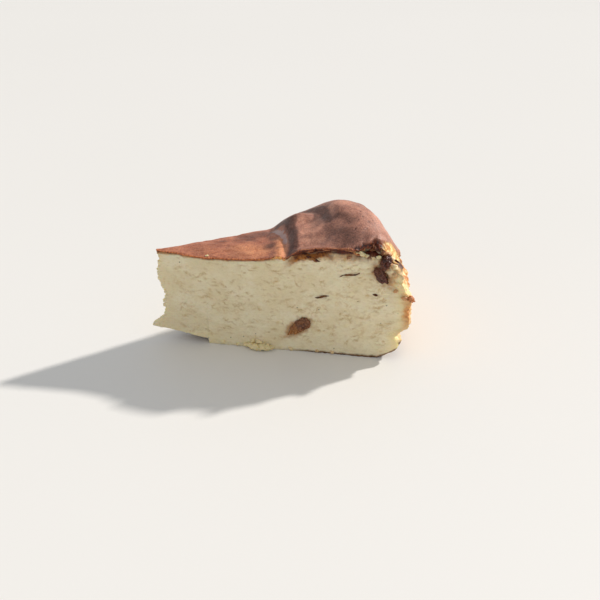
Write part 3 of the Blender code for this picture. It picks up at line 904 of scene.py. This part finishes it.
def skin_material():
    """Satin baked skin: orange to red-brown, mottled, with pits and amber lips, painted shade in dark bands
    and patches, painted light in orange patches and a painted reflection in the crease.
    """
    material, shader = start_material("browned_skin")
    broad = grain(3.4, roughness=0.6)
    mottle = grain(1.2, roughness=0.6)
    fine = grain(0.52, roughness=0.7)
    tone = plus(times(broad, 0.24), plus(times(mottle, 0.22), times(fine, 0.54)))
    tone = between(tone, 0.4, 0.6)
    plateau = blend(tone, (142, 78, 56), (190, 120, 88))
    dome = blend(tone, (136, 88, 72), (184, 128, 106))
    colour = blend(mask("dome"), plateau, dome)
    # Orange: the skin's own orange, with painted light on the sunlit mound, lobe and crest
    orange_and_lit_colour = blend(mask("dome"), blend(tone, (198, 118, 74), (238, 168, 120)),
                    blend(tone, (188, 126, 102), (230, 168, 140)))
    broken = spread(mottle, 0.35, 0.6, 0.72, 1)
    colour = layers(colour, (
        (mask("orange_and_lit"), 0.85, orange_and_lit_colour),
        # Dark: browned patches, and painted shade on the dome's foot, crescent and shaded front
        (times(mask("dark"), broken), 1, blend(tone, (52, 23, 14), (94, 52, 37))),
        # Sheen: a painted reflection of the sky on the syrup in the crease
        (mask("sheen"), 0.7, blend(fine, (160, 132, 128), (196, 172, 170))),
        (mask("pit"), 0.9, (58, 18, 14)),
        (mask("lip"), 1, blend(between(fine, 0.4, 0.62), (140, 66, 30), (222, 134, 76))),
        (mask("under"), 1, blend(between(mottle, 0.4, 0.6), (58, 20, 14), (132, 62, 26))),
        (mask("crumb"), 1, blend(between(mottle, 0.4, 0.62), (240, 216, 146), (206, 140, 70)))))
    rough = spread(mottle, 0.3, 0.7, 0.44, 0.62)
    rough = add("ShaderNodeMix", {0: mask("sheen"), 2: rough, 3: 0.3}, data_type="FLOAT")
    feed(shader, {"Base Color": colour, "Roughness": rough,
                  "Normal": bump(plus(fine, times(mottle, 0.7)), 0.13),
                  "Specular IOR Level": 0.5} | sinking_light(0.1, 0.35, 0.15, 0.8))
    return material


def skin_edge():
    """Places once round the skin's edge: (distance, turn, outward way)."""
    steps = int(CUT_RADIUS / SKIN_SPACING)
    rim_steps = int(2 * CUT_RADIUS * HALF_ANGLE / SKIN_SPACING)
    edge = [(CUT_RADIUS * i / steps, -1, cut_normal(-1)) for i in range(steps)]
    for i in range(rim_steps):
        t = 2 * i / rim_steps - 1
        edge.append((CUT_RADIUS, t, outward(t)))
    edge += [(CUT_RADIUS * (1 - i / steps), 1, cut_normal(1)) for i in range(steps)]
    return edge + [(0, t, Vector((-1, 0, 0))) for t in (0.5, -0.5)]


def build_skin():
    """The skin: its top, its rolled lip and its underside."""
    edge = skin_edge()
    places = [(r, t) for r, t, way in edge]
    inside = wedge_filling(SKIN_SPACING)
    points = [skin_point(r, t) for r, t in places + inside]
    looks = [skin_look(r, t) for r, t in places + inside]
    faces = fill_wedge(places, inside)
    count = len(edge)
    above = 0
    for row in range(1, LIP_ROWS + 1):
        turn = pi * row / LIP_ROWS
        start = len(points)
        for i, (r, t, way) in enumerate(edge):
            beads = 1 + 0.7 * crags(r, t * 9, row * 0.3, 0.7) * smooth(46, 52, r)
            slim = 0.45 + 0.55 * smooth(0, 10, r)
            thick = LIP_THICKNESS * slim * (1 + 0.4 * crags(r, t * TURN_APART, 5, 2))
            out = way * sin(turn) * thick / 2 * beads
            points.append(points[i] + out - Vector((0, 0, (1 - cos(turn)) * thick / 2)))
            sunken = smooth(0.5, 1, row / LIP_ROWS) if r < FRAYS_FROM[0] else smooth(0.1, 0.5, row / LIP_ROWS)
            under = max(sunken * (1 - looks[i]["crumb"]), looks[i]["under"])
            looks.append(looks[i] | {"lip": 1 - 0.5 * sunken, "under": under})
        for i in range(count):
            a, b = above + i, above + (i + 1) % count
            c, d = start + (i + 1) % count, start + i
            faces.append((a, d, c, b))
        above = start
    hidden = wedge_filling(FILLING_SPACING)
    start = len(points) - count
    for r, t in hidden:
        points.append(skin_point(r, t) - Vector((0, 0, HIDDEN_SKIN_DEPTH)))
        looks.append(looks[0] | {"lip": 0, "under": 1})
    for corners in fill_wedge(places, hidden):
        faces.append([above + i if i < count else start + i for i in corners][::-1])
    skin = new_piece("browned_skin", points, faces, looks, skin_material(), "cheesecake")
    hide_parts("cheesecake_slice")


build_skin()

# The torn crust and the crumbs
# Where the crust tore off at the corner it left curled flakes, sticky dark lumps of burnt sugar and
# crumbs of curd, and the knife pushed more crumbs out at the foot. Flakes are thin bent sheets and
# crumbs are uneven balls, all stuck fast to the slice.
FLAKE_STEPS = (10, 5)
FLAKE_THICKNESS = 0.22

# Flakes on the crust's edge: (distance along, below the edge, out of it, heading, lean, length,
# width, curl, darkness), in millimetres and degrees
FLAKES = ((73.6, 0.9, -0.1, -2, 62, 3.2, 1.2, 0.8, 0.15), (76.6, 1.1, 0, -16, 58, 2.6, 1.1, -0.7, 0.3),
          (75, 2.1, 0.2, -10, 66, 2.6, 0.9, 0.8, 0.05), (79.6, 0.9, -0.1, -70, 40, 2.4, 1.2, 0.7, 0.9),
          (81.6, 1, 0, -40, 55, 2.4, 1.1, 0.8, 0.75), (83.6, 0.9, 0, -28, 55, 2.4, 1.1, 0.7, 0.9),
          (85.8, 0.9, 0, -40, 55, 2.2, 1.2, 0.8, 0.8), (71.2, 0.7, 0.1, -6, 62, 2.2, 0.6, 0.5, 0.45),
          (64.5, 0.9, 0.1, 3, 62, 2.6, 0.6, 0.5, 0.3), (58.5, 0.9, 0.1, 8, 62, 2.4, 0.6, -0.5, 0.3))

# Crumbs on the cut: (distance along, height, out of the cut, length, thickness, dark, amber)
CRUMBS = ((77.2, 43.2, 0, 2.6, 1.6, 1, 0), (81.4, 43.6, 0, 2.8, 1.5, 1, 0),
          (79.2, 42.6, 0.2, 1.8, 1.4, 0.5, 1), (79.6, 44.4, 0.1, 1.7, 1.2, 0.1, 1),
          (83.2, 42.9, 0.2, 1.8, 1.2, 0.4, 1), (85, 42.2, 0.5, 2.4, 1.3, 0, 0.9),
          (86.6, 41.4, 0.4, 2, 1.3, 0, 1), (75.2, 43.4, 0.1, 1.6, 1, 0.9, 0.4),
          (75.6, 41.9, 0.2, 2.8, 1.7, 0, 0), (77.4, 41.2, 0.1, 1.6, 1.1, 0, 0.1),
          (73.9, 42.6, 0.1, 1.3, 0.9, 0, 0.3), (82.2, 41.3, 0.2, 1.8, 1.2, 0, 0),
          (80, 41, 0.2, 1.4, 1, 0, 0.3), (86.9, 40.4, 0.2, 2.6, 2, 0, 0.2),
          (87.9, 38.2, 0.2, 2.4, 1.8, 0, 0.1), (86.6, 41.9, 0.1, 1.9, 1.3, 0, 0.6),
          (87.6, 35.6, 0.1, 2, 1.5, 0, 0.5), (86.4, 29, 0.1, 1.8, 1.2, 0, 0.7),
          (87.8, 31.6, 0.1, 2.2, 1.6, 0, 0), (88.2, 26.4, 0.2, 2, 1.5, 0, 0.8),
          (90.4, 26.2, 0, 2.6, 2, 0.1, 1), (71.4, 41.2, 0, 1.7, 1.1, 0.5, 0.8),
          (33.6, 1.1, 0.2, 2.2, 1.7, 0, 0), (35.6, 1.4, 0.5, 3.6, 2.3, 0, 0),
          (37.6, 1.4, 1.1, 3.8, 2.4, 0, 0), (39.7, 1.6, 1, 3.6, 2.6, 0, 0),
          (41.6, 1.3, 1.2, 3.4, 2.2, 0, 0), (43.4, 1, 0.3, 2, 1.4, 0, 0),
          (38.7, 2.9, 0.3, 2.6, 1.8, 0, 0), (36.2, 3.1, 0.1, 2, 1.5, 0, 0),
          (30.2, 0.9, 0.1, 1.6, 1.2, 0, 0), (24.6, 1.6, 0, 1.5, 1.1, 0, 0),
          (50.5, 0.8, 0.1, 1.5, 1.1, 0, 0.1), (60.4, 0.8, 0.1, 1.5, 1, 0, 0.4),
          (66, 0.8, 0.1, 1.7, 1.1, 0, 0.3))
WHITE_CRUMB = (20, -0.82, 1.3, 0.7)


def crumb_material():
    """Curd, amber sugar or burnt sugar, as the masks say."""
    material, shader = start_material("crumbs_and_flakes")
    speckle = between(grain(0.5), 0.35, 0.65)
    colour = layers(blend(speckle, (240, 214, 158), (250, 233, 186)), (
        (mask("amber"), 1, blend(speckle, (176, 98, 46), (222, 150, 96))),
        (mask("dark"), 1, blend(speckle, (44, 22, 24), (92, 44, 30)))))
    rough = spread(speckle, 0, 1, 0.34, 0.6)
    feed(shader, {"Base Color": colour, "Roughness": rough, "Normal": bump(grain(0.35, 2), 0.1)}
         | sinking_light(0.3, 0.55, 0.25, 1))
    return material


def collect(ball, place, look, pile):
    """Moves a small mesh to its place and adds it to a pile of points, faces and looks."""
    points, faces, looks = pile
    start = len(points)
    for vert in ball.verts:
        point = place @ vert.co
        points.append(Vector((point.x, point.y, max(point.z, 0))))
    looks.extend(dict(look) for vert in ball.verts)
    faces.extend(tuple(start + vert.index for vert in face.verts) for face in ball.faces)
    ball.free()


def facing_cut(side, point, turn):
    """A frame at a point of a cut: X along the cut, turned up by an angle, and Y out of it."""
    out, up = cut_normal(side), Vector((0, 0, 1))
    facing = Matrix((out.cross(up), out, up)).transposed().to_4x4()
    return Matrix.Translation(point) @ facing @ Matrix.Rotation(-turn * side, 4, "Y")


def on_wall(side, r, z, out):
    """The point of a cut's own surface at a distance and a height, moved out of it."""
    return place_on_slice(r, side, z, top_height(r, side) - z) + cut_normal(side) * out


def flake(length, width, curl, seed):
    """A thin torn flake: a grid bent along its length, with ragged sides, made solid."""
    bm = bmesh.new()
    along_it, across_it = FLAKE_STEPS
    bmesh.ops.create_grid(bm, x_segments=along_it, y_segments=across_it, size=0.5)
    for vert in bm.verts:
        u, v = vert.co.x, vert.co.y
        ragged = 1 + 0.35 * noise.noise(Vector((4 * u, 3 * v, seed)))
        taper = 1 - 1.6 * u * u
        bent = curl * (u + 0.5)
        vert.co = Vector((length * sin(bent) / curl, length * (1 - cos(bent)) / curl,
                          width * v * ragged * taper))
        vert.co.y += 0.25 * width * noise.noise(Vector((2.5 * u, 2.5 * v, seed + 9)))
    bmesh.ops.recalc_face_normals(bm, faces=bm.faces)
    bmesh.ops.solidify(bm, geom=bm.faces[:], thickness=FLAKE_THICKNESS)
    bmesh.ops.recalc_face_normals(bm, faces=bm.faces)
    return bm


def new_ball(fineness):
    """A round ball to shape, of one millimetre radius."""
    ball = bmesh.new()
    bmesh.ops.create_icosphere(ball, subdivisions=fineness, radius=1)
    return ball


def crumb(length, thickness, seed):
    """An uneven ball of crumb."""
    bm = new_ball(3)
    for vert in bm.verts:
        way = vert.co.normalized()
        uneven = 1 + 0.65 * noise.noise(way * 1.5 + Vector((seed, 0, 0)))
        uneven += 0.45 * noise.noise(way * 3.6 + Vector((0, seed, 0)))
        vert.co = Vector((way.x * length / 2, way.y * thickness / 2, way.z * thickness / 2)) * uneven
    return bm


def build_torn_crust():
    """All flakes as one piece and all crumbs as another."""
    material = crumb_material()
    pile = ([], [], [])
    for number, (r, below, out, heading, lean, length, width, curl, dark) in enumerate(FLAKES):
        edge = skin_point(r, -1) + cut_normal(-1) * out - Vector((0, 0, below))
        place = facing_cut(-1, edge, radians(heading)) @ Matrix.Rotation(radians(lean), 4, "X")
        look = {"dark": dark, "amber": 1}
        collect(flake(length, width, curl, 2.3 * number), place, look, pile)
    new_piece("torn_flakes", *pile, material, "cheesecake")
    pile = ([], [], [])
    for number, (r, z, out, length, thickness, dark, amber) in enumerate(CRUMBS):
        place = facing_cut(-1, on_wall(-1, r, z, out), 2.1 * number % 1.2 - 0.6)
        collect(crumb(length, thickness, 3.1 * number), place, {"dark": dark, "amber": amber}, pile)
    r, t, length, thickness = WHITE_CRUMB
    place = Matrix.Translation(skin_point(r, t))
    collect(crumb(length, thickness, 0.4), place, {"dark": 0, "amber": 0}, pile)
    new_piece("crumbs", *pile, material, "cheesecake")


build_torn_crust()

# The syrup beads
# Small beads of sugar syrup that ran out of the crease and hang on the crust's edge, clear and amber.
# Each is a flattened glossy ball pressed against the edge.
SYRUP_BEADS = ((45.5, 0.45, 1.4, 1.1), (46.9, 0.55, 1.7, 1.2), (48.3, 0.7, 1.2, 0.8), (44.4, 0.5, 0.8, 0.6))
BEAD_OUT = 0.35


def syrup_material():
    """Clear amber syrup."""
    material, shader = start_material("amber_syrup")
    tone = between(grain(0.6, 2), 0.35, 0.65)
    colour = blend(tone, (206, 132, 62), (232, 168, 96))
    feed(shader, {"Base Color": colour, "Roughness": 0.06, "Coat Weight": 0.5,
                  "Coat Roughness": 0.03} | sinking_light(0.4, 0.5, 0.2, 1))
    return material


beads = ([], [], [])
for r, below, length, thickness in SYRUP_BEADS:
    bead = new_ball(3)
    bmesh.ops.scale(bead, vec=Vector((length, 0.8 * thickness, thickness)) / 2, verts=bead.verts)
    edge = skin_point(r, -1) + cut_normal(-1) * BEAD_OUT - Vector((0, 0, below))
    collect(bead, facing_cut(-1, edge, 0), {"bead": 1}, beads)
new_piece("syrup_beads", *beads, syrup_material(), "cheesecake")

# The soaked raisins
# Wrinkled raisins that the knife sliced with the cake: whole ones low on both cuts and at the torn
# corner, and slivers of skin. Each is a crumpled ball, flat where it was cut, in its own pocket.
RAISIN_LUMPS = (0.3, 1.9)
RAISIN_WRINKLES = (0.24, 3.1)
FINE_WRINKLES = ((0.16, 4.6), (0.1, 9), (0.05, 18))

# How a raisin differs from a plain oval: times as long, times as thick, wider at one end, bent,
# amber, and how domed its sliced side is
RAISIN_FORMS = {
    "raisin_low_front": (1.22, 1, 0.55, 0, 1, 0.15),
    "raisin_rim_upper": (1.2, 1.05, 0.15, 0.04, 0.15, 0.6),
    "raisin_rim_lower": (1.22, 0.95, -0.25, 0.1, 0.15, 0.6),
    "raisin_skin_long": (1, 0.42, 0, 0.1, 0.45, 0.12),
    "raisin_skin_short": (1, 0.45, 0, -0.07, 0.35, 0.12),
    "raisin_skin_dot": (1, 0.6, 0, 0, 0.2, 0.12),
    "raisin_under_crust": (1.1, 0.6, 0, 0.07, 0.9, 0.12),
    "raisin_back_low": (1.1, 1, 0.3, 0, 0.9, 0.15),
    "raisin_back_skin": (1, 0.45, 0, 0.08, 0.5, 0.12),
}


def raisin_material():
    """Dark glossy raisin skin, amber where the cut thins it."""
    material, shader = start_material("soaked_raisin")
    mottle = grain(0.9)
    dark = blend(between(mottle, 0.3, 0.65), (50, 20, 20), (98, 44, 32))
    amber = blend(between(mottle, 0.3, 0.65), (128, 74, 30), (184, 124, 62))
    colour = blend(mask("amber"), dark, amber)
    rough = spread(mottle, 0.3, 0.7, 0.16, 0.36)
    feed(shader, {"Base Color": colour, "Roughness": rough, "Normal": bump(grain(0.4, 2), 0.12)}
         | sinking_light(0.2, 0.4, 0.15, 1))
    return material


def build_raisin(row, seed, material):
    """One raisin in its pocket, with fine wrinkles."""
    name, side, r, z, length, thickness, depth, lean, proud = row
    longer, thicker, wider, bend, amber, domed = RAISIN_FORMS[name]
    place = facing_cut(side, on_cut(side, r, z), radians(lean))
    ball = new_ball(5)
    looks = []
    for vert in ball.verts:
        way = vert.co.normalized()
        wrinkle = 1 + RAISIN_LUMPS[0] * noise.noise(way * RAISIN_LUMPS[1] + Vector((seed, 0, 0)))
        wrinkle -= RAISIN_WRINKLES[0] * abs(noise.noise(way * RAISIN_WRINKLES[1] + Vector((0, seed, 0))))
        for height, count in FINE_WRINKLES:
            wrinkle += height * (0.3 - abs(noise.noise(way * count + Vector((0, 0, seed)))))
        end = way.x * -side
        body = Vector((way.x * longer * length / 2, way.y * depth,
                       way.z * thicker * thickness / 2 * (1 - wider * end))) * wrinkle
        body.z += bend * length * sin(2.6 * way.x)
        if body.y > proud:
            body.y = proud + (domed + 0.5 * (wrinkle - 0.95)) * (body.y - proud)
        vert.co = body
        uneven = 0.35 * noise.noise(way * 3 + Vector((seed, 0, 0)))
        if thickness < 2:
            looks.append({"amber": amber * smooth(0.6, 0.3, abs(way.x) + uneven)})
        else:
            looks.append({"amber": amber * (0.4 + 0.6 * smooth(-0.15, 0.35, end + uneven))})
    pile = ([], [], [])
    collect(ball, place, {}, pile)
    fruit = new_piece(name + "_fruit", pile[0], pile[1], looks, material, "raisin")
    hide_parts(name)


raisin_skin = raisin_material()
for number, raisin in enumerate(RAISINS):
    build_raisin(raisin, 3.7 * number, raisin_skin)

# The studio
# A pale floor, a warm key light low on the right and a little behind, as on the photo's slice, and
# soft light from all round. The camera stands where the photo's did.
FLOOR_SIZE = 6.0
CAMERA_FROM_TIP = Vector((-3.7, -293.9, 188.8))
CAMERA_TURN = radians(11.17)
CAMERA_PITCH = radians(30.68)
LENS = 54
SENSOR = 36
KEY_TURN = radians(73)
KEY_HEIGHT = radians(31)
KEY_SOFTNESS = radians(3)
KEY_STRENGTH = 3.6
ROOM_STRENGTH = 0.53


def way_at(turn, height):
    """The way to a turn from +Y and a height over the floor."""
    return Vector((sin(turn) * cos(height), cos(turn) * cos(height), sin(height)))


bpy.ops.mesh.primitive_plane_add(size=FLOOR_SIZE, location=(0, 0, -0.05 * MM))
floor = bpy.context.object
floor.name = "floor"
floor_material, floor_shader = start_material("pale_floor")
floor_tone = blend(grain(400, 2), (232, 230, 226), (237, 235, 232))
feed(floor_shader, {"Base Color": floor_tone, "Roughness": 0.5})
floor.data.materials.append(floor_material)

key = bpy.data.lights.new("key", "SUN")
key.energy = KEY_STRENGTH
key.angle = KEY_SOFTNESS
key.color = (1.0, 0.955, 0.90)
key_holder = bpy.data.objects.new("key", key)
key_holder.rotation_euler = way_at(KEY_TURN, KEY_HEIGHT).to_track_quat("Z", "Y").to_euler()
bpy.context.scene.collection.objects.link(key_holder)

room = bpy.data.worlds.new("room")
bpy.context.scene.world = room
room.use_nodes = True
room.node_tree.nodes["Background"].inputs[0].default_value = (0.96, 0.98, 1.0, 1)
room.node_tree.nodes["Background"].inputs[1].default_value = ROOM_STRENGTH

camera_data = bpy.data.cameras.new("camera")
camera_data.lens = LENS
camera_data.sensor_width = SENSOR
camera = bpy.data.objects.new("camera", camera_data)
camera.location = (SHARP_TIP + CAMERA_FROM_TIP) * MM
looking = way_at(CAMERA_TURN, -CAMERA_PITCH)
camera.rotation_euler = looking.to_track_quat("-Z", "Y").to_euler()
bpy.context.scene.collection.objects.link(camera)
bpy.context.scene.camera = camera
bpy.context.scene.view_settings.view_transform = "Standard"
